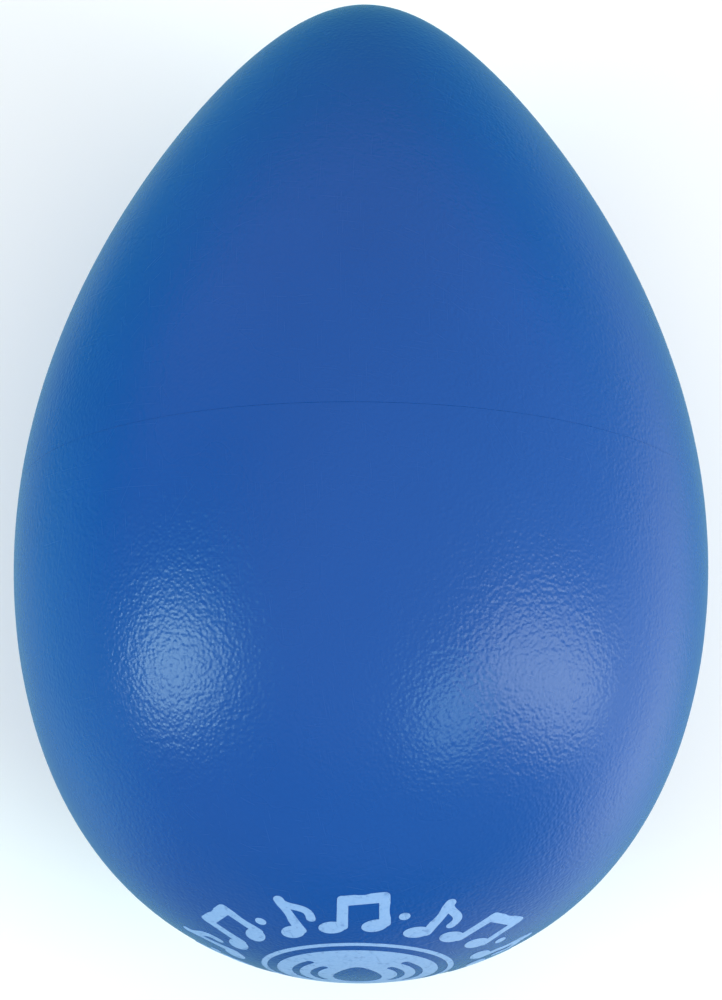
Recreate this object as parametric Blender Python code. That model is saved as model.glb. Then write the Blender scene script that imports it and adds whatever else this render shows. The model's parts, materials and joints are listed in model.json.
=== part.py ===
# Egg shaker: a hollow plastic egg moulded in two halves, with loose steel shot inside.
# It lies on its side on a table, as an egg comes to rest, with the pointed end a little low.
# Metres, +Z up, pointed end toward +Y, origin on the table under the middle of the egg.

import math

import bmesh
import bpy
from mathutils import Matrix, Vector

# Outer form. Stations run along the egg's axis from its girth, positive toward the point.
GIRTH_RADIUS = 0.021
POINT_LENGTH = 0.0355
BLUNT_LENGTH = 0.0252
POINT_TAPER = 0.296
# The blunt end is drawn in just so much that both ends curve alike where they meet.
BLUNT_TAPER = ((1 + 2 * POINT_TAPER) * (BLUNT_LENGTH / POINT_LENGTH) ** 2 - 1) / 2

# Half shells. The blunt half carries a tongue that plugs into a rebate in the pointed half.
WALL = 0.002
GAP = 0.0003
SEAM_STATION = 0.0046
LAP_LENGTH = 0.0022
SKIRT_WALL = (WALL - GAP) / 2
SIDES = 32
RING_STEP = math.radians(10.5)
# The egg lies on one ring of flats, which reaches across the seam between these stations.
FOOT_START = 0.0026
FOOT_END = 0.0088

# Shot. It lies one deep along the lowest part of the chamber, and each ball can fly across.
SHOT_RADIUS = 0.002
SHOT_CLEARANCE = 0.00036
POOL_DEPTH = 0.0049
ROW_PITCH = 2 * SHOT_RADIUS + GAP
MIDDLE_ROW = 0.0055
ROWS_EACH_WAY = 4

TIP = math.pi / 2


def end_shape(angle):
    """Length and taper of the end that an angle lies in."""
    if angle > 0:
        return POINT_LENGTH, POINT_TAPER
    return BLUNT_LENGTH, BLUNT_TAPER


def egg_point(angle, inset):
    """(radius, station) on the egg, inset from its skin. Angle 0 is the girth, +-TIP the tips."""
    length, taper = end_shape(angle)
    swing = math.sin(angle)
    radius = (GIRTH_RADIUS - inset) * math.cos(angle) * (1 - taper * swing * swing)
    return Vector((radius, (length - inset) * swing))


def angle_at(station, inset):
    """The angle whose point lies at a station."""
    length = end_shape(station)[0]
    return math.asin(station / (length - inset))


def skin_run(start, end, inset):
    """Points along the egg from one angle to another."""
    count = max(1, round(abs(end - start) / RING_STEP))
    return [egg_point(start + (end - start) * i / count, inset) for i in range(count + 1)]


def foot_ends():
    """The two rings of corners that bound the ring of flats the egg lies on."""
    return egg_point(angle_at(FOOT_START, 0.0), 0.0), egg_point(angle_at(FOOT_END, 0.0), 0.0)


def foot_point(station):
    """A point on the ring of flats that the egg lies on."""
    start, end = foot_ends()
    return start.lerp(end, (station - FOOT_START) / (FOOT_END - FOOT_START))


def rest_tilt():
    """How far the point hangs below level when that ring lies flat on the table."""
    start, end = foot_ends()
    return math.atan2(start.x - end.x, end.y - start.y)


def blunt_outline():
    """Closed section of the blunt half from tip to tip: skin, shoulder, tongue, inner wall."""
    shoulder = SEAM_STATION - GAP / 2
    tongue_end = SEAM_STATION + GAP / 2 + LAP_LENGTH
    tongue_inset = SKIRT_WALL + GAP
    points = skin_run(-TIP, angle_at(FOOT_START, 0.0), 0.0)
    points.append(foot_point(shoulder))
    points.append(egg_point(angle_at(shoulder, tongue_inset), tongue_inset))
    points.append(egg_point(angle_at(tongue_end, tongue_inset), tongue_inset))
    points += skin_run(angle_at(tongue_end, WALL), -TIP, WALL)
    return points


def pointed_outline():
    """Closed section of the pointed half from tip to tip: skin, skirt, rebate, inner wall."""
    skirt_end = SEAM_STATION + GAP / 2
    rebate_end = skirt_end + LAP_LENGTH + GAP
    points = skin_run(TIP, angle_at(FOOT_END, 0.0), 0.0)
    points.append(foot_point(skirt_end))
    points.append(egg_point(angle_at(skirt_end, SKIRT_WALL), SKIRT_WALL))
    points.append(egg_point(angle_at(rebate_end, SKIRT_WALL), SKIRT_WALL))
    points += skin_run(angle_at(rebate_end, WALL), TIP, WALL)
    return points


def turned_mesh(name, outline):
    """Spin a section about the egg's axis (local Y), with one of its flats straight down."""
    mesh = bpy.data.meshes.new(name)
    bm = bmesh.new()
    verts = [bm.verts.new((point.x, point.y, 0.0)) for point in outline]
    edges = [bm.edges.new(pair) for pair in zip(verts, verts[1:])]
    bmesh.ops.rotate(bm, verts=verts, matrix=Matrix.Rotation(math.pi / SIDES, 3, "Y"))
    bmesh.ops.spin(
        bm,
        geom=verts + edges,
        cent=(0, 0, 0),
        axis=(0, 1, 0),
        angle=2 * math.pi,
        steps=SIDES,
        use_merge=True,
    )
    bmesh.ops.remove_doubles(bm, verts=bm.verts, dist=1e-6)
    bmesh.ops.recalc_face_normals(bm, faces=bm.faces)
    bm.to_mesh(mesh)
    bm.free()
    mesh.shade_smooth()
    mesh.set_sharp_from_angle(angle=math.radians(35))
    return mesh


def ball_mesh(name, radius):
    """A shot ball about its own centre."""
    mesh = bpy.data.meshes.new(name)
    bm = bmesh.new()
    bmesh.ops.create_icosphere(bm, subdivisions=2, radius=radius)
    bm.to_mesh(mesh)
    bm.free()
    mesh.shade_smooth()
    return mesh


def material(name, color, roughness, metallic):
    """A Principled BSDF finish."""
    finish = bpy.data.materials.new(name)
    finish.use_nodes = True
    shader = finish.node_tree.nodes["Principled BSDF"]
    shader.inputs["Base Color"].default_value = (*color, 1.0)
    shader.inputs["Roughness"].default_value = roughness
    shader.inputs["Metallic"].default_value = metallic
    return finish


def egg_frame(tilt):
    """Empty on the egg's axis at its girth, turned to the rest tilt and lifted onto the table."""
    run = skin_run(-TIP, TIP, 0.0)
    front = max(p.y * math.cos(tilt) + p.x * math.sin(tilt) for p in run)
    back = min(p.y * math.cos(tilt) - p.x * math.sin(tilt) for p in run)
    foot = foot_ends()[0]
    foot_depth = foot.y * math.sin(tilt) + foot.x * math.cos(math.pi / SIDES) * math.cos(tilt)
    empty = bpy.data.objects.new("egg_frame", None)
    empty.location = (0.0, -(front + back) / 2, foot_depth)
    empty.rotation_euler = (-tilt, 0.0, 0.0)
    bpy.context.scene.collection.objects.link(empty)
    return empty


def add_node(name, mesh, finish, parent, location=(0.0, 0.0, 0.0)):
    """One solid of the assembly, placed in the egg's frame."""
    if not mesh.materials:
        mesh.materials.append(finish)
    node = bpy.data.objects.new(name, mesh)
    node.parent = parent
    node.location = location
    bpy.context.scene.collection.objects.link(node)
    return node


def ball_path_radius(station):
    """How far from the axis a ball's centre is when it lies on the inner wall at a station."""
    step = 1e-5
    before, here, after = (
        egg_point(angle_at(place, WALL), WALL).x for place in (station - step, station, station + step)
    )
    slope = (after - before) / (2 * step)
    return here - (SHOT_RADIUS + SHOT_CLEARANCE) * math.hypot(1, slope)


def shot_places(tilt):
    """Ball centres in the egg's frame: rows across the axis, up to one level surface.

    Every ball lies on its own line through the axis, so it can cross to the far wall and back
    without meeting another.
    """
    rows = range(-ROWS_EACH_WAY, ROWS_EACH_WAY + 1)
    stations = [MIDDLE_ROW + row * ROW_PITCH for row in rows]
    radii = [ball_path_radius(station) for station in stations]
    falls = [station * math.sin(tilt) + radius * math.cos(tilt) for station, radius in zip(stations, radii)]
    level = max(falls) - POOL_DEPTH
    places = []
    for station, radius, fall in zip(stations, radii, falls):
        if fall < level:
            continue
        widest = math.acos((level - station * math.sin(tilt)) / (radius * math.cos(tilt)))
        spacing = 2 * math.asin(ROW_PITCH / 2 / radius)
        count = 1 + math.floor(2 * widest / spacing)
        for i in range(count):
            turn = (i - (count - 1) / 2) * spacing
            places.append((radius * math.sin(turn), station, -radius * math.cos(turn)))
    return places


def build():
    """The whole shaker."""
    for old in list(bpy.data.objects):
        bpy.data.objects.remove(old, do_unlink=True)

    blue_plastic = material("blue_plastic", (0.018, 0.085, 0.37), 0.34, 0.0)
    steel = material("steel", (0.56, 0.57, 0.58), 0.24, 1.0)

    tilt = rest_tilt()
    frame = egg_frame(tilt)
    blunt_mesh = turned_mesh("blunt_half_shell", blunt_outline())
    pointed_mesh = turned_mesh("pointed_half_shell", pointed_outline())
    add_node("blunt_half_shell", blunt_mesh, blue_plastic, frame)
    add_node("pointed_half_shell", pointed_mesh, blue_plastic, frame)

    shot = ball_mesh("shot", SHOT_RADIUS)
    for number, place in enumerate(shot_places(tilt), start=1):
        add_node(f"shot_{number:02d}", shot, steel, frame, place)


build()
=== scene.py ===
import json
import math

import bmesh
import bpy
from mathutils import Matrix, Vector
from mathutils.geometry import delaunay_2d_cdt


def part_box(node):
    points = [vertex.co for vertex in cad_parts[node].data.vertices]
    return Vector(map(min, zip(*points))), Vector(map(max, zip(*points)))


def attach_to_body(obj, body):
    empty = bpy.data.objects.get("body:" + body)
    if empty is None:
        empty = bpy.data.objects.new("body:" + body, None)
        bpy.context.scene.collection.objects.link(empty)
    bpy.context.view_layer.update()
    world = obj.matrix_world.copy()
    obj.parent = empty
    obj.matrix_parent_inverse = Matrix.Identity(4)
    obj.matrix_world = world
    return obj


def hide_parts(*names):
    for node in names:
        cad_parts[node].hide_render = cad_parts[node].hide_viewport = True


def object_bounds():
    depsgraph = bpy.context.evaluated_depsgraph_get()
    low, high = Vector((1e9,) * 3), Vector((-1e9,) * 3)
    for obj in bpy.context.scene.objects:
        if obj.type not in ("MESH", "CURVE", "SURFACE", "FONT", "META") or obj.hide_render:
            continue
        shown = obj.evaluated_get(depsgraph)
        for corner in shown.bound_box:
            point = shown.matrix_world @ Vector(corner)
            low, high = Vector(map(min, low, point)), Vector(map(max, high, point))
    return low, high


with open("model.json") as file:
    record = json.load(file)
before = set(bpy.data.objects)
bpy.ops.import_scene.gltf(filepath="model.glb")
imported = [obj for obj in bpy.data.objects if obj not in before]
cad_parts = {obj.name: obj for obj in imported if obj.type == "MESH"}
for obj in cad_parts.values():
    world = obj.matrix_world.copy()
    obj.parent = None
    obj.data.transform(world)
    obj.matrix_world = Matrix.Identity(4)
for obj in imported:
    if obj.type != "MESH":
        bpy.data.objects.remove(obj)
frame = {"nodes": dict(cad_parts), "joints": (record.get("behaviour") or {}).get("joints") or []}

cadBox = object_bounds()

# the egg's own sizes in metres; stations run along its axis from the girth, positive toward the point
egg = {
    "girthRadius": 0.021,
    "pointLength": 0.0355,
    "bluntLength": 0.0252,
    "pointTaper": 0.296,
    "wall": 0.002,
    "seamStation": 0.0046,
    "seamGap": 0.000004,        # what shows of the joint from outside
    "edgeChamfer": 0.000014,
    "lapLength": 0.0022,        # how far the blunt half's tongue reaches into the pointed half
    "lapGap": 0.0003,
    "gateRadius": 0.0011,       # the dimple that the mould's gate leaves on the pointed tip
    "gateDepth": 0.00005,
    "sides": 160,
    "outerRings": 120,
    "innerRings": 60,
    "creaseAngle": 35,
}
# both ends curve alike where they meet at the girth
egg["bluntTaper"] = ((1 + 2 * egg["pointTaper"]) * (egg["bluntLength"] / egg["pointLength"]) ** 2 - 1) / 2


def eggPoint(angle):
    # (radius, station) on the skin; angle 0 is the girth, a quarter turn either way is a tip
    end = "point" if angle > 0 else "blunt"
    swing = math.sin(angle)
    radius = egg["girthRadius"] * math.cos(angle) * (1 - egg[end + "Taper"] * swing ** 2)
    return radius, egg[end + "Length"] * swing


def findEggPlace():
    # each ball's slide crosses the egg's axis at half its travel, so the outermost rows give the axis
    crossings = []
    for joint in frame["joints"]:
        low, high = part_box(joint["child"])
        crossings.append((low + high) / 2 + Vector(joint["axis"]) * joint["range_m"][1] / 2)
    back = min(crossings, key=lambda point: point.y)
    front = max(crossings, key=lambda point: point.y)
    tilt = math.atan2(back.z - front.z, front.y - back.y)
    steps = 400
    skin = [eggPoint(math.pi / 2 * step / steps) for step in range(-steps, steps + 1)]
    reach = max(station * math.cos(tilt) + radius * math.sin(tilt) for radius, station in skin)
    retreat = min(station * math.cos(tilt) - radius * math.sin(tilt) for radius, station in skin)
    depth = max(station * math.sin(tilt) + radius * math.cos(tilt) for radius, station in skin)
    girthY = (cadBox[0][1] + cadBox[1][1] - reach - retreat) / 2
    centre = back.lerp(front, (girthY - back.y) / (front.y - back.y))
    return centre, tilt, centre.z - depth


girthCentre, restTilt, floorHeight = findEggPlace()
eggMatrix = Matrix.Translation(girthCentre) @ Matrix.Rotation(-restTilt, 4, "X")
print("egg found: girth centre", [round(value, 5) for value in girthCentre],
      "tilt", round(math.degrees(restTilt), 2), "floor", round(floorHeight, 5))


def addNode(tree, kind, inputs=None, **settings):
    # a node with its settings; an input takes either a socket to link or a plain value
    node = tree.nodes.new(kind)
    for name, value in settings.items():
        setattr(node, name, value)
    for key, value in (inputs or {}).items():
        if isinstance(value, bpy.types.NodeSocket):
            tree.links.new(value, node.inputs[key])
        else:
            node.inputs[key].default_value = value
    return node


def calc(tree, operation, *values):
    return addNode(tree, "ShaderNodeMath", dict(enumerate(values)), operation=operation).outputs[0]


def choose(tree, factor, low, high):
    return addNode(tree, "ShaderNodeMix", {0: factor, 2: low, 3: high}).outputs[0]


def between(tree, value, ends, low=0.0, high=1.0):
    # low at the first end and before it, high at the second end and past it
    start, end = ends
    return addNode(tree, "ShaderNodeMapRange", {0: value, 1: start, 2: end, 3: low, 4: high}).outputs[0]


def newTree(name, kind, sockets):
    # sockets are (name, "INPUT" or "OUTPUT", type, default)
    tree = bpy.data.node_groups.new(name, kind)
    for label, direction, socketType, default in sockets:
        socket = tree.interface.new_socket(label, in_out=direction, socket_type=socketType)
        if default is not None:
            socket.default_value = default
    source = tree.nodes.new("NodeGroupInput")
    sink = tree.nodes.new("NodeGroupOutput")
    return tree, source.outputs, sink.inputs


floatSocket = "NodeSocketFloat"
vectorSocket = "NodeSocketVector"
countSocket = "NodeSocketInt"
geometrySocket = "NodeSocketGeometry"
materialSocket = "NodeSocketMaterial"

eggSockets = [
    ("Girth Radius", "INPUT", floatSocket, egg["girthRadius"]),
    ("Point Length", "INPUT", floatSocket, egg["pointLength"]),
    ("Blunt Length", "INPUT", floatSocket, egg["bluntLength"]),
    ("Point Taper", "INPUT", floatSocket, egg["pointTaper"]),
    ("Blunt Taper", "INPUT", floatSocket, egg["bluntTaper"]),
]


def eggSizes(source):
    return {label: source[label] for label, _, _, _ in eggSockets}


def endShape(tree, source, side):
    # length and taper of the end that a signed value lies in
    pointed = calc(tree, "GREATER_THAN", side, 0.0)
    length = choose(tree, pointed, source["Blunt Length"], source["Point Length"])
    return length, choose(tree, pointed, source["Blunt Taper"], source["Point Taper"])


def makeEggPointTree():
    # the egg's rule as a node group: an angle and an inset give a radius and a station
    tree, source, sink = newTree("eggPoint", "GeometryNodeTree", [
        ("Angle", "INPUT", floatSocket, 0.0),
        ("Inset", "INPUT", floatSocket, 0.0),
        *eggSockets,
        ("Radius", "OUTPUT", floatSocket, None),
        ("Station", "OUTPUT", floatSocket, None),
    ])
    length, taper = endShape(tree, source, source["Angle"])
    swing = calc(tree, "SINE", source["Angle"])
    drawIn = calc(tree, "MULTIPLY", taper, calc(tree, "MULTIPLY", swing, swing))
    girth = calc(tree, "SUBTRACT", source["Girth Radius"], source["Inset"])
    ellipse = calc(tree, "MULTIPLY", girth, calc(tree, "COSINE", source["Angle"]))
    tree.links.new(calc(tree, "MULTIPLY", ellipse, calc(tree, "SUBTRACT", 1.0, drawIn)), sink["Radius"])
    reach = calc(tree, "SUBTRACT", length, source["Inset"])
    tree.links.new(calc(tree, "MULTIPLY", reach, swing), sink["Station"])
    return tree


def makeAngleAtTree():
    # the angle whose point lies at a station
    tree, source, sink = newTree("angleAt", "GeometryNodeTree", [
        ("Station", "INPUT", floatSocket, 0.0),
        ("Inset", "INPUT", floatSocket, 0.0),
        *eggSockets,
        ("Angle", "OUTPUT", floatSocket, None),
    ])
    length = endShape(tree, source, source["Station"])[0]
    share = calc(tree, "DIVIDE", source["Station"], calc(tree, "SUBTRACT", length, source["Inset"]))
    tree.links.new(calc(tree, "ARCSINE", share), sink["Angle"])
    return tree


eggPointTree = makeEggPointTree()
angleAtTree = makeAngleAtTree()


def useGroup(tree, group, inputs, kind="GeometryNodeGroup"):
    return addNode(tree, kind, inputs, node_tree=group).outputs


def finishTree(tree, source, sink, geometry):
    # every tree ends as real, smooth geometry with its material
    smooth = addNode(tree, "GeometryNodeSetShadeSmooth", {"Geometry": geometry})
    whole = addNode(tree, "GeometryNodeRealizeInstances", {"Geometry": smooth.outputs[0]})
    painted = addNode(tree, "GeometryNodeSetMaterial",
                      {"Geometry": whole.outputs[0], "Material": source["Material"]})
    tree.links.new(painted.outputs[0], sink["Geometry"])


def makeHalfShellTree():
    # turns one half's section: skin, chamfer, butt face, lap and inner wall; Pole is 1 or -1
    tree, source, sink = newTree("halfShell", "GeometryNodeTree", [
        *eggSockets,
        ("Wall", "INPUT", floatSocket, egg["wall"]),
        ("Pole", "INPUT", floatSocket, 1.0),
        ("Butt Station", "INPUT", floatSocket, 0.0),
        ("Lap Station", "INPUT", floatSocket, 0.0),
        ("Lap Inset", "INPUT", floatSocket, 0.0),
        ("Edge Chamfer", "INPUT", floatSocket, egg["edgeChamfer"]),
        ("Gate Radius", "INPUT", floatSocket, egg["gateRadius"]),
        ("Gate Depth", "INPUT", floatSocket, 0.0),
        ("Outer Rings", "INPUT", countSocket, egg["outerRings"]),
        ("Inner Rings", "INPUT", countSocket, egg["innerRings"]),
        ("Sides", "INPUT", countSocket, egg["sides"]),
        ("Material", "INPUT", materialSocket, None),
        ("Geometry", "OUTPUT", geometrySocket, None),
    ])
    sizes = eggSizes(source)

    def angleAt(station, inset):
        return useGroup(tree, angleAtTree, {"Station": station, "Inset": inset, **sizes})["Angle"]

    # X of the grid counts points along the section, Y counts sides round the egg
    outer = source["Outer Rings"]
    points = calc(tree, "ADD", calc(tree, "ADD", outer, source["Inner Rings"]), 3.0)
    grid = addNode(tree, "GeometryNodeMeshGrid", {
        "Size X": 1.0, "Size Y": 1.0, "Vertices X": points,
        "Vertices Y": calc(tree, "ADD", source["Sides"], 1.0)})
    position = tree.nodes.new("GeometryNodeInputPosition").outputs[0]
    spot = addNode(tree, "ShaderNodeSeparateXYZ", {0: position}).outputs
    last = calc(tree, "SUBTRACT", points, 1.0)
    index = calc(tree, "ROUND", calc(tree, "MULTIPLY", calc(tree, "ADD", spot[0], 0.5), last))
    turn = calc(tree, "MULTIPLY", calc(tree, "ADD", spot[1], 0.5), math.tau)

    tip = calc(tree, "MULTIPLY", source["Pole"], math.pi / 2)
    edge = calc(tree, "MULTIPLY", source["Pole"], source["Edge Chamfer"])
    skinEnd = angleAt(calc(tree, "ADD", source["Butt Station"], edge), 0.0)
    outerShare = calc(tree, "DIVIDE", index, calc(tree, "SUBTRACT", outer, 1.0))
    innerIndex = calc(tree, "SUBTRACT", calc(tree, "SUBTRACT", index, outer), 3.0)
    innerLast = calc(tree, "SUBTRACT", source["Inner Rings"], 1.0)
    innerShare = calc(tree, "DIVIDE", innerIndex, innerLast)
    innerRun = choose(tree, innerShare, angleAt(source["Lap Station"], source["Wall"]), tip)
    past = [calc(tree, "GREATER_THAN", index, calc(tree, "ADD", outer, corner - 0.5)) for corner in range(4)]

    angle = choose(tree, outerShare, tip, skinEnd)
    angle = choose(tree, past[0], angle, angleAt(source["Butt Station"], source["Edge Chamfer"]))
    angle = choose(tree, past[1], angle, angleAt(source["Butt Station"], source["Lap Inset"]))
    angle = choose(tree, past[2], angle, angleAt(source["Lap Station"], source["Lap Inset"]))
    angle = choose(tree, past[3], angle, innerRun)
    inset = choose(tree, past[0], 0.0, source["Edge Chamfer"])
    inset = choose(tree, past[1], inset, source["Lap Inset"])
    inset = choose(tree, past[3], inset, source["Wall"])
    place = useGroup(tree, eggPointTree, {"Angle": angle, "Inset": inset, **sizes})

    # the gate's dimple fades out over the outer half of its radius, on the skin only
    fade = addNode(tree, "ShaderNodeMapRange", {
        0: place["Radius"], 1: calc(tree, "MULTIPLY", source["Gate Radius"], 0.5),
        2: source["Gate Radius"], 3: 1.0, 4: 0.0}, interpolation_type="SMOOTHSTEP").outputs[0]
    onSkin = calc(tree, "SUBTRACT", 1.0, past[0])
    dimple = calc(tree, "MULTIPLY", calc(tree, "MULTIPLY", fade, onSkin), source["Gate Depth"])
    station = calc(tree, "SUBTRACT", place["Station"], calc(tree, "MULTIPLY", dimple, source["Pole"]))

    where = addNode(tree, "ShaderNodeCombineXYZ", {
        0: calc(tree, "MULTIPLY", place["Radius"], calc(tree, "COSINE", turn)),
        1: station,
        2: calc(tree, "MULTIPLY", place["Radius"], calc(tree, "SINE", turn))}).outputs[0]
    turned = addNode(tree, "GeometryNodeSetPosition", {"Geometry": grid.outputs[0], "Position": where})
    closed = addNode(tree, "GeometryNodeMergeByDistance", {"Geometry": turned.outputs[0], "Distance": 1e-6})
    finishTree(tree, source, sink, closed.outputs[0])
    return tree


def makePrintTree():
    # repeats a flat print round the blunt pole, lays it on the skin and gives the ink its thickness
    tree, source, sink = newTree("wrappedPrint", "GeometryNodeTree", [
        ("Geometry", "INPUT", geometrySocket, None),
        *eggSockets,
        ("Repeats", "INPUT", countSocket, 1),
        ("Lift", "INPUT", floatSocket, 0.0),
        ("Ink", "INPUT", floatSocket, 0.0),
        ("Material", "INPUT", materialSocket, None),
        ("Geometry", "OUTPUT", geometrySocket, None),
    ])
    step = calc(tree, "DIVIDE", math.tau, source["Repeats"])
    index = tree.nodes.new("GeometryNodeInputIndex").outputs[0]
    turn = addNode(tree, "ShaderNodeCombineXYZ", {2: calc(tree, "MULTIPLY", index, step)}).outputs[0]
    seats = addNode(tree, "GeometryNodePoints", {"Count": source["Repeats"]})
    copies = addNode(tree, "GeometryNodeInstanceOnPoints", {
        "Points": seats.outputs[0], "Instance": source["Geometry"], "Rotation": turn})
    flat = addNode(tree, "GeometryNodeRealizeInstances", {"Geometry": copies.outputs[0]})

    position = tree.nodes.new("GeometryNodeInputPosition").outputs[0]
    spot = addNode(tree, "ShaderNodeSeparateXYZ", {0: position}).outputs
    reach = addNode(tree, "ShaderNodeVectorMath", {0: position}, operation="LENGTH").outputs[1]
    around = calc(tree, "ARCTAN2", spot[1], spot[0])
    poleCurve = calc(tree, "MULTIPLY", source["Girth Radius"],
                     calc(tree, "SUBTRACT", 1.0, source["Blunt Taper"]))
    angle = calc(tree, "SUBTRACT", calc(tree, "DIVIDE", reach, poleCurve), math.pi / 2)

    def onSkin(lift):
        place = useGroup(tree, eggPointTree, {
            "Angle": angle, "Inset": calc(tree, "MULTIPLY", lift, -1.0), **eggSizes(source)})
        return addNode(tree, "ShaderNodeCombineXYZ", {
            0: calc(tree, "MULTIPLY", place["Radius"], calc(tree, "COSINE", around)),
            1: place["Station"],
            2: calc(tree, "MULTIPLY", place["Radius"], calc(tree, "SINE", around))}).outputs[0]

    top = calc(tree, "ADD", source["Lift"], source["Ink"])
    raised = addNode(tree, "GeometryNodeExtrudeMesh", {
        "Mesh": flat.outputs[0], "Offset": (0.0, 0.0, 1.0), "Offset Scale": source["Ink"],
        "Individual": False})
    under = addNode(tree, "GeometryNodeFlipFaces", {"Mesh": flat.outputs[0]})
    both = addNode(tree, "GeometryNodeJoinGeometry")
    tree.links.new(raised.outputs[0], both.inputs[0])
    tree.links.new(under.outputs[0], both.inputs[0])
    closed = addNode(tree, "GeometryNodeMergeByDistance", {"Geometry": both.outputs[0], "Distance": 1e-7})
    isTop = calc(tree, "GREATER_THAN", spot[2], calc(tree, "MULTIPLY", source["Ink"], 0.5))
    where = onSkin(choose(tree, isTop, source["Lift"], top))
    laid = addNode(tree, "GeometryNodeSetPosition", {"Geometry": closed.outputs[0], "Position": where})
    finishTree(tree, source, sink, laid.outputs[0])
    return tree


def makeShotTree():
    # one tumbled ball, a hair out of round
    tree, source, sink = newTree("steelBall", "GeometryNodeTree", [
        ("Radius", "INPUT", floatSocket, 0.002),
        ("Subdivisions", "INPUT", countSocket, 4),
        ("Centre", "INPUT", vectorSocket, None),
        ("Dent Depth", "INPUT", floatSocket, 0.0),
        ("Dent Size", "INPUT", floatSocket, 0.001),
        ("Seed", "INPUT", floatSocket, 0.0),
        ("Material", "INPUT", materialSocket, None),
        ("Geometry", "OUTPUT", geometrySocket, None),
    ])
    ball = addNode(tree, "GeometryNodeMeshIcoSphere", {
        "Radius": source["Radius"], "Subdivisions": source["Subdivisions"]})
    position = tree.nodes.new("GeometryNodeInputPosition").outputs[0]
    noise = addNode(tree, "ShaderNodeTexNoise", {
        "Vector": position, "W": source["Seed"], "Scale": calc(tree, "DIVIDE", 1.0, source["Dent Size"]),
        "Detail": 1.0}, noise_dimensions="4D").outputs[0]
    depth = calc(tree, "MULTIPLY", noise, calc(tree, "MULTIPLY", source["Dent Depth"], -1.0))
    normal = tree.nodes.new("GeometryNodeInputNormal").outputs[0]
    push = addNode(tree, "ShaderNodeVectorMath", {0: normal, 3: depth}, operation="SCALE").outputs[0]
    dented = addNode(tree, "GeometryNodeSetPosition", {"Geometry": ball.outputs[0], "Offset": push})
    placed = addNode(tree, "GeometryNodeTransform", {
        "Geometry": dented.outputs[0], "Translation": source["Centre"]})
    finishTree(tree, source, sink, placed.outputs[0])
    return tree


def bakeTree(name, tree, values, startMesh=None, matrix=None, sharpAngle=None):
    # runs a tree once on a fresh object and keeps the result as that object's plain mesh
    piece = bpy.data.objects.new(name, startMesh or bpy.data.meshes.new(name))
    bpy.context.scene.collection.objects.link(piece)
    modifier = piece.modifiers.new("make", "NODES")
    modifier.node_group = tree
    for item in tree.interface.items_tree:
        if item.in_out == "INPUT" and item.name in values:
            modifier[item.identifier] = values[item.name]
    depsgraph = bpy.context.evaluated_depsgraph_get()
    mesh = bpy.data.meshes.new_from_object(piece.evaluated_get(depsgraph), depsgraph=depsgraph)
    piece.modifiers.clear()
    piece.data = mesh
    mesh.name = name
    if matrix is not None:
        mesh.transform(matrix)
    shape = bmesh.new()
    shape.from_mesh(mesh)
    if shape.calc_volume(signed=True) < 0:
        bmesh.ops.reverse_faces(shape, faces=shape.faces)
    shape.to_mesh(mesh)
    shape.free()
    if sharpAngle is not None:
        mesh.set_sharp_from_angle(angle=math.radians(sharpAngle))
    return piece


def attach(piece, body, slot, *nodes):
    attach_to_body(piece, body)
    if nodes:
        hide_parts(*nodes)


# shader effects that more than one finish uses
grainShape = {
    "smoothness": 0.9,         # how softly one pebble runs into the next
    "swellScale": 0.6,         # broader swells, against the pebbles' own scale
}

wear = {
    "rubbed": (0.38, 0.66),    # the patches turn from fresh to rubbed between these noise values
    "scratched": (0.74, 0.84),
    "stretch": (1.0, 90.0, 4.0),
    "turns": ((0.3, 0.9, 0.2), (1.1, 0.2, 1.7), (2.0, 1.3, 0.6)),   # the scratches' three main directions
    "seedStep": 3.7,
}


def makePebbleGrain():
    # the mould's fine orange-peel texture, as a height from 0 to 1
    tree, source, sink = newTree("pebbleGrain", "ShaderNodeTree", [
        ("Vector", "INPUT", vectorSocket, None),
        ("Grain Size", "INPUT", floatSocket, 0.0003),
        ("Irregularity", "INPUT", floatSocket, 0.5),
        ("Height", "OUTPUT", floatSocket, None),
    ])
    scale = calc(tree, "DIVIDE", 1.0, source["Grain Size"])
    pebbles = addNode(tree, "ShaderNodeTexVoronoi", {
        "Vector": source["Vector"], "Scale": scale, "Smoothness": grainShape["smoothness"]},
        feature="SMOOTH_F1").outputs[0]
    swells = addNode(tree, "ShaderNodeTexNoise", {
        "Vector": source["Vector"], "Scale": calc(tree, "MULTIPLY", scale, grainShape["swellScale"]),
        "Detail": 1.0}).outputs[0]
    domes = calc(tree, "SUBTRACT", 1.0, pebbles)
    tree.links.new(choose(tree, source["Irregularity"], domes, swells), sink["Height"])
    return tree


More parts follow.
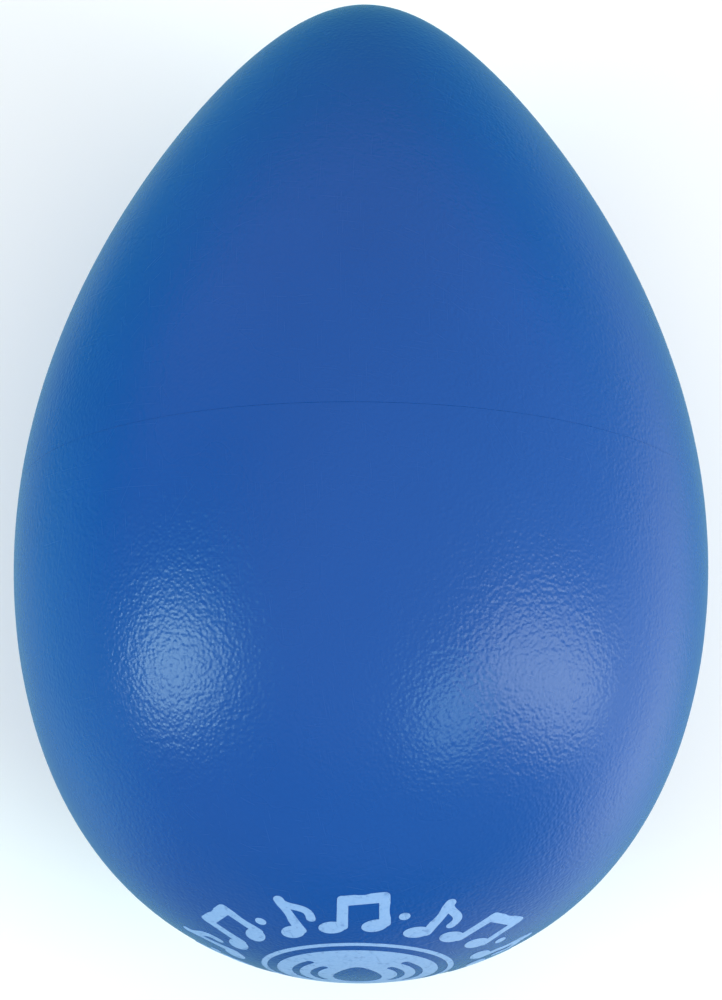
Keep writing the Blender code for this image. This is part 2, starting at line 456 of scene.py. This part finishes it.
def makeHandling():
    # what hands and a gig bag leave: broad rubbed patches, and fine scratches in all directions
    tree, source, sink = newTree("handling", "ShaderNodeTree", [
        ("Vector", "INPUT", vectorSocket, None),
        ("Patch Size", "INPUT", floatSocket, 0.01),
        ("Scratch Length", "INPUT", floatSocket, 0.006),
        ("Scratch Amount", "INPUT", floatSocket, 0.5),
        ("Rubbed", "OUTPUT", floatSocket, None),
        ("Scratched", "OUTPUT", floatSocket, None),
    ])
    patches = addNode(tree, "ShaderNodeTexNoise", {
        "Vector": source["Vector"], "Scale": calc(tree, "DIVIDE", 1.0, source["Patch Size"]),
        "Detail": 3.0, "Roughness": 0.55}).outputs[0]
    tree.links.new(between(tree, patches, wear["rubbed"]), sink["Rubbed"])

    longScale = calc(tree, "DIVIDE", 1.0, source["Scratch Length"])
    lines = []
    for seed, turn in enumerate(wear["turns"]):
        turned = addNode(tree, "ShaderNodeMapping", {
            "Vector": source["Vector"], "Rotation": turn}).outputs[0]
        drawn = addNode(tree, "ShaderNodeVectorMath", {0: turned, 1: wear["stretch"]},
                        operation="MULTIPLY").outputs[0]
        cells = addNode(tree, "ShaderNodeTexNoise", {
            "Vector": drawn, "W": wear["seedStep"] * seed, "Scale": longScale, "Detail": 0.0},
            noise_dimensions="4D").outputs[0]
        lines.append(between(tree, cells, wear["scratched"]))
    most = calc(tree, "MAXIMUM", calc(tree, "MAXIMUM", lines[0], lines[1]), lines[2])
    tree.links.new(calc(tree, "MULTIPLY", most, source["Scratch Amount"]), sink["Scratched"])
    return tree


pebbleGrain = makePebbleGrain()
handling = makeHandling()


def useShaderGroup(tree, group, inputs):
    return useGroup(tree, group, inputs, kind="ShaderNodeGroup")


def newMaterial(name, constants):
    finish = bpy.data.materials.new(name)
    finish.use_nodes = True
    tree = finish.node_tree
    shader = tree.nodes["Principled BSDF"]
    for label, value in constants.items():
        shader.inputs[label].default_value = value
    place = tree.nodes.new("ShaderNodeTexCoord").outputs["Object"]
    return finish, tree, shader, place


def sheen(tree, worn, finish):
    # rubbed places are glossier than the rest, and scratches duller
    rough = between(tree, worn["Rubbed"], (0.0, 1.0),
                    finish["roughness"] + finish["duller"], finish["roughness"] - finish["glossier"])
    if not finish["scratchDull"]:
        return rough
    return calc(tree, "ADD", rough, calc(tree, "MULTIPLY", worn["Scratched"], finish["scratchDull"]))


def scratchedBump(tree, worn, height, finish):
    # the grain stands out, and the scratches are cut into it
    raised = addNode(tree, "ShaderNodeBump", {
        "Height": height, "Strength": 1.0, "Distance": finish["grainDepth"]}).outputs[0]
    return addNode(tree, "ShaderNodeBump", {
        "Height": worn["Scratched"], "Strength": 1.0, "Distance": finish["scratchDepth"],
        "Normal": raised}, invert=True).outputs[0]


def mixColor(tree, factor, low, high, blend="MIX"):
    mix = addNode(tree, "ShaderNodeMix", data_type="RGBA", blend_type=blend)
    for key, value in ((0, factor), (6, low), (7, high)):
        if isinstance(value, bpy.types.NodeSocket):
            tree.links.new(value, mix.inputs[key])
        else:
            mix.inputs[key].default_value = value
    return mix.outputs[2]


plastic = {
    "pigment": (0.0003, 0.059, 0.274, 1.0),
    "pigmentThin": (0.0010, 0.066, 0.302, 1.0),   # where the pigment is a little thinner
    "streakScale": 90.0,
    "scuff": (0.02, 0.09, 0.32, 1.0),
    "scuffShare": 0.1,          # how much of the scuff's colour a scratch takes
    "scratchAmount": 0.35,
    "scratchDepth": 0.000002,
    "scratchDull": 0.12,
    "roughness": 0.27,
    "duller": 0.02,             # roughness added where nothing has rubbed
    "glossier": 0.03,           # roughness lost where hands have rubbed
    "specular": 0.31,
    "grainSize": 0.00022,
    "grainDepth": 0.000046,
    "irregularity": 0.45,
}


def useMouldGrain(tree, place):
    return useShaderGroup(tree, pebbleGrain, {
        "Vector": place, "Grain Size": plastic["grainSize"],
        "Irregularity": plastic["irregularity"]})["Height"]


def makeBluePlastic():
    finish, tree, shader, place = newMaterial("bluePlastic", {"Specular IOR Level": plastic["specular"]})
    streaks = addNode(tree, "ShaderNodeTexNoise", {
        "Vector": place, "Scale": plastic["streakScale"], "Detail": 4.0, "Roughness": 0.6,
        "Distortion": 0.8}).outputs[0]
    worn = useShaderGroup(tree, handling, {"Vector": place, "Scratch Amount": plastic["scratchAmount"]})
    body = mixColor(tree, streaks, plastic["pigment"], plastic["pigmentThin"])
    scuffed = calc(tree, "MULTIPLY", worn["Scratched"], plastic["scuffShare"])
    tree.links.new(mixColor(tree, scuffed, body, plastic["scuff"]), shader.inputs["Base Color"])
    tree.links.new(sheen(tree, worn, plastic), shader.inputs["Roughness"])
    tree.links.new(scratchedBump(tree, worn, useMouldGrain(tree, place), plastic), shader.inputs["Normal"])
    return finish


ink = {
    "color": (0.225, 0.375, 0.67, 1.0),
    "thin": (0.165, 0.315, 0.62, 1.0),     # where the blue shows through
    "thinShare": 0.5,
    "hollows": (0.55, 0.30),    # grain heights where the ink starts to thin and is thinnest
    "pinScale": 2600.0,
    "pins": (0.60, 0.70),       # pinholes start to open at the first value
    "bareShare": 0.35,
    "patchSize": 0.003,
    "scratchAmount": 1.0,
    "scratchDull": 0.0,
    "roughness": 0.45,
    "duller": 0.08,
    "glossier": 0.05,
    "specular": 0.4,
    "grainShare": 0.7,          # how much of the plastic's grain still shows
}


def makePrintInk():
    finish, tree, shader, place = newMaterial("printInk", {"Specular IOR Level": ink["specular"]})
    worn = useShaderGroup(tree, handling, {
        "Vector": place, "Patch Size": ink["patchSize"], "Scratch Amount": ink["scratchAmount"]})
    height = useMouldGrain(tree, place)
    speckle = addNode(tree, "ShaderNodeTexNoise", {
        "Vector": place, "Scale": ink["pinScale"], "Detail": 2.0}).outputs[0]
    opened = calc(tree, "MAXIMUM", between(tree, speckle, ink["pins"]), worn["Scratched"])
    thinned = calc(tree, "MULTIPLY", between(tree, height, ink["hollows"]), ink["thinShare"])
    laid = mixColor(tree, thinned, ink["color"], ink["thin"])
    bare = calc(tree, "MULTIPLY", opened, ink["bareShare"])
    tree.links.new(mixColor(tree, bare, laid, plastic["pigmentThin"]), shader.inputs["Base Color"])
    tree.links.new(sheen(tree, worn, ink), shader.inputs["Roughness"])
    bump = addNode(tree, "ShaderNodeBump", {
        "Height": height, "Strength": ink["grainShare"], "Distance": plastic["grainDepth"]}).outputs[0]
    tree.links.new(bump, shader.inputs["Normal"])
    return finish


steel = {
    "bright": (0.62, 0.62, 0.63, 1.0),
    "dark": (0.42, 0.41, 0.40, 1.0),
    "patchSize": 0.0014,
    "scratchLength": 0.0011,
    "scratchAmount": 1.0,
    "scratchDepth": 0.000003,
    "scratchDull": 0.15,
    "roughness": 0.20,
    "duller": 0.16,
    "glossier": 0.0,
    "grainSize": 0.00035,       # the dents that the balls beat into each other
    "grainDepth": 0.000006,
    "irregularity": 0.7,
}


def makeShotSteel():
    finish, tree, shader, place = newMaterial("shotSteel", {"Metallic": 1.0})
    worn = useShaderGroup(tree, handling, {
        "Vector": place, "Patch Size": steel["patchSize"], "Scratch Length": steel["scratchLength"],
        "Scratch Amount": steel["scratchAmount"]})
    grain = useShaderGroup(tree, pebbleGrain, {
        "Vector": place, "Grain Size": steel["grainSize"], "Irregularity": steel["irregularity"]})
    polished = mixColor(tree, worn["Rubbed"], steel["dark"], steel["bright"])
    tree.links.new(polished, shader.inputs["Base Color"])
    tree.links.new(sheen(tree, worn, steel), shader.inputs["Roughness"])
    tree.links.new(scratchedBump(tree, worn, grain["Height"], steel), shader.inputs["Normal"])
    return finish


bluePlastic = makeBluePlastic()
printInk = makePrintInk()
shotSteel = makeShotSteel()
print("finishes made")

# the two half shells
halfShellTree = makeHalfShellTree()
seamStart = egg["seamStation"] - egg["seamGap"] / 2
seamEnd = egg["seamStation"] + egg["seamGap"] / 2
tongueEnd = egg["seamStation"] + egg["lapGap"] / 2 + egg["lapLength"]
skirtWall = (egg["wall"] - egg["lapGap"]) / 2

bluntShell = bakeTree("bluntShell", halfShellTree, {
    "Pole": -1.0, "Butt Station": seamStart, "Lap Station": tongueEnd,
    "Lap Inset": skirtWall + egg["lapGap"], "Material": bluePlastic},
    matrix=eggMatrix, sharpAngle=egg["creaseAngle"])
pointedShell = bakeTree("pointedShell", halfShellTree, {
    "Pole": 1.0, "Butt Station": seamEnd, "Lap Station": tongueEnd + egg["lapGap"],
    "Lap Inset": skirtWall, "Gate Depth": egg["gateDepth"], "Material": bluePlastic},
    matrix=eggMatrix, sharpAngle=egg["creaseAngle"])
attach(bluntShell, "shell", "blue_plastic", "blunt_half_shell")
attach(pointedShell, "shell", "blue_plastic", "pointed_half_shell")
print("half shells:", len(bluntShell.data.polygons), "and", len(pointedShell.data.polygons), "faces")

# the loose shot
shot = {
    "subdivisions": 4,
    "dentDepth": 0.000008,
    "dentSize": 0.0015,
    "seedStep": 1.7,            # so that no two balls are dented alike
}
shotTree = makeShotTree()
balls = sorted(name for name in frame["nodes"] if name.startswith("shot_"))
for number, name in enumerate(balls):
    low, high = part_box(name)
    ball = bakeTree(name.replace("shot", "steelBall"), shotTree, {
        "Radius": (high.z - low.z) / 2, "Subdivisions": shot["subdivisions"],
        "Centre": (low + high) / 2, "Dent Depth": shot["dentDepth"], "Dent Size": shot["dentSize"],
        "Seed": shot["seedStep"] * number, "Material": shotSteel})
    attach(ball, name, "steel_shot", name)
print("shot:", len(balls), "balls")

# the print round the blunt pole, drawn flat about the pole: X to the right, Y to the top of the egg
emblem = {
    "repeats": 6,              # how often the phrase of notes is printed
    "noteFoot": 0.0068,        # the notes' lowest line, measured from the pole
    "stroke": 0.0007,
    "beam": 0.0009,
    "headLength": 0.00085,     # half the note head's length and width
    "headWidth": 0.00062,
    "headLean": 22.0,
    "headSide": 0.00062,       # a head's middle lies this far beside the stem of a beamed pair
    "headRise": 0.0007,
    "stemFoot": 0.0009,
    "pairStems": ((-0.00095, 0.00355, 0.0), (0.00165, 0.00385, 0.0003)),   # X, top and rise of each
    "pairTurn": 90.0,          # where each sign stands round the pole, in degrees
    "eighthHead": (-0.0004, 0.0007),
    "eighthStem": ((0.0002, 0.0008), (0.0002, 0.0039)),
    "eighthFlag": ((0.0002, 0.0038), (0.0005, 0.0029), (0.0019, 0.0031), (0.0014, 0.0018)),
    "flagShare": 0.85,
    "eighthTurn": 58.5,
    "dotRadius": 0.00036,
    "dotRise": 0.0022,
    "dotTurn": 71.5,
    "ringRadius": 0.00565,
    "ringWidth": 0.00036,
    "discRadius": 0.00485,
    "iconLength": 0.0042,
    "iconShift": 0.005,        # the little egg's middle, on the big egg's own scale
    "iconSteps": 24,
    "waveRadii": (0.0026, 0.0037),
    "waveWidth": 0.00046,
    "waveSpread": 0.7,         # half a wave's arc in radians
    "mesh": 0.00045,           # the flat mesh's step, small enough to follow the skin
    "lift": 0.000005,
    "ink": 0.00002,
    "creaseAngle": 40,
}
pole = Vector((0.0, 0.0))


def arcPoints(centre, radius, start, end, step=0.00012):
    count = max(8, math.ceil(abs(end - start) * radius / step))
    turns = [start + (end - start) * i / count for i in range(count + 1)]
    return [centre + Vector((math.cos(turn), math.sin(turn))) * radius for turn in turns]


def strokeOutline(run, width):
    # a closed outline with round ends round a run of points
    sides = [[], []]
    for i, point in enumerate(run):
        along = (run[min(i + 1, len(run) - 1)] - run[max(i - 1, 0)]).normalized()
        across = Vector((-along.y, along.x)) * width / 2
        sides[0].append(point - across)
        sides[1].append(point + across)
    outline = []
    for side, tip, before in ((sides[0], run[-1], run[-2]), (sides[1][::-1], run[0], run[1])):
        heading = math.atan2(tip.y - before.y, tip.x - before.x)
        outline += side[:-1] + arcPoints(tip, width / 2, heading - math.pi / 2, heading + math.pi / 2)[:-1]
    return outline


def circleOutline(centre, radius):
    return arcPoints(centre, radius, 0.0, math.tau)[:-1]


def headOutline(centre):
    lean = Matrix.Rotation(math.radians(emblem["headLean"]), 2)
    size = Matrix.Diagonal((emblem["headLength"], emblem["headWidth"]))
    unitRing = arcPoints(pole, 1.0, 0.0, math.tau, 0.15)[:-1]
    return [centre + lean @ (size @ point) for point in unitRing]


def bezierRun(points, count=14):
    start, control1, control2, end = (Vector(point) for point in points)
    run = []
    for i in range(count + 1):
        t = i / count
        run.append(start * (1 - t) ** 3 + control1 * 3 * t * (1 - t) ** 2
                   + control2 * 3 * t * t * (1 - t) + end * t ** 3)
    return run


def flatInk(name, inked, bare=()):
    # one flat mesh of all the inked outlines together, less the bare ones
    corners = []
    faces = []
    for outline in (*inked, *bare):
        faces.append(list(range(len(corners), len(corners) + len(outline))))
        corners += outline
    reach = max(corner.length for corner in corners)
    rows = math.ceil(reach / emblem["mesh"])
    for row in range(-rows, rows + 1):
        for column in range(-rows, rows + 1):
            corners.append(Vector((column + row % 2 / 2, row * math.sqrt(3) / 2)) * emblem["mesh"])
    points, _, triangles, _, _, owners = delaunay_2d_cdt(corners, [], faces, 1, 1e-7)
    kept = []
    for triangle, owner in zip(triangles, owners):
        if owner and max(owner) < len(inked):
            kept.append(triangle)
    mesh = bpy.data.meshes.new(name)
    mesh.from_pydata([(point.x, point.y, 0.0) for point in points], [], kept)
    shape = bmesh.new()
    shape.from_mesh(mesh)
    loose = [corner for corner in shape.verts if not corner.link_faces]
    bmesh.ops.delete(shape, geom=loose, context="VERTS")
    bmesh.ops.recalc_face_normals(shape, faces=shape.faces)
    if shape.faces[:] and shape.faces[0].normal.z < 0:
        bmesh.ops.reverse_faces(shape, faces=shape.faces)
    shape.to_mesh(mesh)
    shape.free()
    return mesh


def onRing(outline, degrees):
    # from a note's own upright frame, its foot line at Y 0, to its place round the pole
    turn = Matrix.Rotation(math.radians(degrees - 90), 2)
    return [turn @ (point + Vector((0.0, emblem["noteFoot"]))) for point in outline]


def beamedPair():
    outlines = []
    for x, top, rise in emblem["pairStems"]:
        outlines.append(headOutline(Vector((x - emblem["headSide"], emblem["headRise"] + rise))))
        foot = Vector((x, emblem["stemFoot"] + rise))
        outlines.append(strokeOutline([foot, Vector((x, top))], emblem["stroke"]))
    inset = (emblem["beam"] - emblem["stroke"]) / 2
    ends = []
    for (x, top, _), side in zip(emblem["pairStems"], (1, -1)):
        ends.append(Vector((x + side * inset, top - inset)))
    outlines.append(strokeOutline(ends, emblem["beam"]))
    return outlines


def eighthNote():
    stem = [Vector(point) for point in emblem["eighthStem"]]
    flag = bezierRun(emblem["eighthFlag"])
    return [headOutline(Vector(emblem["eighthHead"])), strokeOutline(stem, emblem["stroke"]),
            strokeOutline(flag, emblem["stroke"] * emblem["flagShare"])]


def notePhrase():
    dot = circleOutline(Vector((0.0, emblem["dotRise"])), emblem["dotRadius"])
    outlines = [onRing(outline, emblem["pairTurn"]) for outline in beamedPair()]
    outlines += [onRing(outline, emblem["eighthTurn"]) for outline in eighthNote()]
    outlines.append(onRing(dot, emblem["dotTurn"]))
    return outlines


def littleEgg():
    # the shaker's own outline, on a small scale
    scale = emblem["iconLength"] / (egg["pointLength"] + egg["bluntLength"])
    steps = emblem["iconSteps"]
    side = []
    for step in range(-steps, steps + 1):
        radius, station = eggPoint(math.pi / 2 * step / steps)
        side.append(Vector((radius, station - emblem["iconShift"])) * scale)
    return side + [Vector((-point.x, point.y)) for point in reversed(side[1:-1])]


def soundWaves():
    spread = emblem["waveSpread"]
    waves = []
    for radius in emblem["waveRadii"]:
        for middle in (0.0, math.pi):
            run = arcPoints(pole, radius, middle - spread, middle + spread)
            waves.append(strokeOutline(run, emblem["waveWidth"]))
    return waves


emblemTree = makePrintTree()
discMesh = flatInk("badgeFlat", [circleOutline(pole, emblem["discRadius"])], [littleEgg(), *soundWaves()])
ringMesh = flatInk("ringFlat", [circleOutline(pole, emblem["ringRadius"] + emblem["ringWidth"] / 2)],
                   [circleOutline(pole, emblem["ringRadius"] - emblem["ringWidth"] / 2)])
noteMesh = flatInk("notesFlat", notePhrase())
for name, mesh, repeats in (("badgePrint", discMesh, 1), ("ringPrint", ringMesh, 1),
                            ("notePrint", noteMesh, emblem["repeats"])):
    piece = bakeTree(name, emblemTree, {
        "Repeats": repeats, "Lift": emblem["lift"], "Ink": emblem["ink"], "Material": printInk},
        startMesh=mesh, matrix=eggMatrix, sharpAngle=emblem["creaseAngle"])
    attach(piece, "shell", "white_print")
    print(name, len(piece.data.polygons), "faces")

# the floor, the light and the camera
studio = {
    "floorColor": (0.98, 0.95, 0.94, 1.0),
    "floorRoughness": 0.8,
    "floorSpecular": 0.2,
    "floorHalf": 1.5,
    "background": (0.95, 0.95, 0.96, 1.0),
    "top": (1.00, 0.92, 0.91, 1.0),          # the soft dome, by the way it is looked into
    "upperLeft": (0.46, 0.48, 0.51, 1.0),
    "upperRight": (0.99, 1.03, 1.02, 1.0),
    "upperBack": (0.86, 0.89, 1.03, 1.0),
    "upperFront": (0.64, 0.58, 0.55, 1.0),
    "lowerLeft": (0.01, 0.32, 0.30, 1.0),    # below the floor, seen only as a gloss on the egg's flanks
    "lowerRight": (0.82, 0.97, 0.94, 1.0),
    "below": (0.28, 0.56, 0.58, 1.0),
    "lowerBack": (0.13, 0.54, 0.53, 1.0),
    "lowerFront": (0.08, 0.11, 0.10, 1.0),
    "horizon": (-0.15, 0.15),                # where patches run into each other, by X, Y or Z
    "leftToRight": (-0.4, 0.4),
    "toFront": (-0.3, -0.7),
    "toBack": (0.3, 0.7),
    "toTop": (0.55, 0.9),
    "toBelow": (-0.6, -0.8),
}

# soft round patches of light on the dome, each fading out to its reach in degrees
glows = {
    "leftFlank": {"towards": (-0.88, -0.15, -0.43), "reach": 35.0, "color": (0.26, 0.50, 0.48, 1.0)},
    "rightFlank": {"towards": (0.90, -0.17, -0.39), "reach": 35.0, "color": (0.80, 0.88, 0.88, 1.0)},
    "frontLeft": {"towards": (-0.60, -0.65, -0.45), "reach": 40.0, "color": (0.26, 0.30, 0.30, 1.0)},
    "frontRight": {"towards": (0.55, -0.55, -0.60), "reach": 40.0, "color": (0.53, 0.57, 0.57, 1.0)},
}

lamps = {
    "leftLamp": {
        "towards": (-0.887, -0.22, 0.41), "size": (0.20, 0.36), "energy": 1.3,
        "color": (0.77, 1.03, 1.05)},
    "leftCore": {
        "towards": (-0.887, -0.22, 0.41), "size": (0.09, 0.18), "energy": 0.35,
        "color": (0.50, 1.00, 1.10)},
    "leftSoft": {
        "towards": (-0.87, -0.18, 0.46), "size": (0.34, 0.50), "energy": 0.40,
        "color": (0.10, 1.05, 1.00)},
    "rightLamp": {
        "towards": (0.89, -0.24, 0.38), "size": (0.26, 0.62), "energy": 2.1,
        "color": (0.94, 1.10, 1.02)},
    "frontLamp": {
        "towards": (0.50, -0.45, 0.74), "size": (0.22, 0.22), "energy": 0.62,
        "color": (0.56, 1.05, 1.06)},
}
lampDistance = 0.6


def makeFloor():
    mesh = bpy.data.meshes.new("floor")
    half = studio["floorHalf"]
    corners = [(x, y, floorHeight) for x, y in ((-half, -half), (half, -half), (half, half), (-half, half))]
    mesh.from_pydata(corners, [], [(0, 1, 2, 3)])
    floor = bpy.data.objects.new("floor", mesh)
    bpy.context.scene.collection.objects.link(floor)
    mesh.materials.append(newMaterial("paleFloor", {
        "Base Color": studio["floorColor"], "Roughness": studio["floorRoughness"],
        "Specular IOR Level": studio["floorSpecular"]})[0])
    floor.visible_glossy = False


def makeDome():
    world = bpy.data.worlds.new("dome")
    bpy.context.scene.world = world
    world.use_nodes = True
    tree = world.node_tree
    direction = tree.nodes.new("ShaderNodeTexCoord").outputs["Generated"]
    x, y, z = addNode(tree, "ShaderNodeSeparateXYZ", {0: direction}).outputs
    rightward = between(tree, x, studio["leftToRight"])
    frontward = between(tree, y, studio["toFront"])
    backward = between(tree, y, studio["toBack"])
    halves = []
    for level in ("lower", "upper"):
        color = mixColor(tree, rightward, studio[level + "Left"], studio[level + "Right"])
        if level == "lower":
            color = mixColor(tree, between(tree, z, studio["toBelow"]), color, studio["below"])
        color = mixColor(tree, frontward, color, studio[level + "Front"])
        halves.append(mixColor(tree, backward, color, studio[level + "Back"]))
    upper = mixColor(tree, between(tree, z, studio["toTop"]), halves[1], studio["top"])
    around = mixColor(tree, between(tree, z, studio["horizon"]), halves[0], upper)
    for glow in glows.values():
        facing = addNode(tree, "ShaderNodeVectorMath", {
            0: direction, 1: Vector(glow["towards"]).normalized()},
            operation="DOT_PRODUCT").outputs["Value"]
        strength = addNode(tree, "ShaderNodeMapRange", {
            0: facing, 1: math.cos(math.radians(glow["reach"])), 2: 1.0},
            interpolation_type="SMOOTHSTEP").outputs[0]
        around = mixColor(tree, strength, around, glow["color"], blend="ADD")
    seen = tree.nodes.new("ShaderNodeLightPath").outputs["Is Camera Ray"]
    shown = mixColor(tree, seen, around, studio["background"])
    tree.links.new(shown, tree.nodes["Background"].inputs["Color"])


def makeLamp(name, towards, size, energy, color):
    light = bpy.data.lights.new(name, "AREA")
    light.shape = "ELLIPSE"
    light.size, light.size_y = size
    light.energy = energy
    light.color = color
    lamp = bpy.data.objects.new(name, light)
    bpy.context.scene.collection.objects.link(lamp)
    away = Vector(towards).normalized()
    lamp.location = girthCentre + away * lampDistance
    lamp.rotation_euler = away.to_track_quat("Z", "Y").to_euler()


def makeCamera():
    # the view leans toward the blunt end, square to the egg's middle line
    view = {"lean": 15.0, "distance": 0.504, "lens": 299.8, "lift": 0.00408, "roll": 0.50}
    elevation = math.radians(90 - view["lean"]) + restTilt
    back = Vector((0.0, -math.cos(elevation), math.sin(elevation)))
    up = Matrix.Rotation(math.radians(view["roll"]), 3, back) @ Vector((0.0, back.z, -back.y))
    right = up.cross(back)
    camera = bpy.data.objects.new("camera", bpy.data.cameras.new("camera"))
    bpy.context.scene.collection.objects.link(camera)
    camera.data.lens = view["lens"]
    camera.data.sensor_width = 36.0
    camera.data.clip_start = 0.01
    turn = Matrix((right, up, back)).transposed().to_4x4()
    spot = girthCentre + up * view["lift"] + back * view["distance"]
    camera.matrix_world = Matrix.Translation(spot) @ turn
    bpy.context.scene.camera = camera


makeFloor()
makeDome()
for name, lamp in lamps.items():
    makeLamp(name, **lamp)
makeCamera()
bpy.context.scene.view_settings.view_transform = "Standard"
print("studio set")
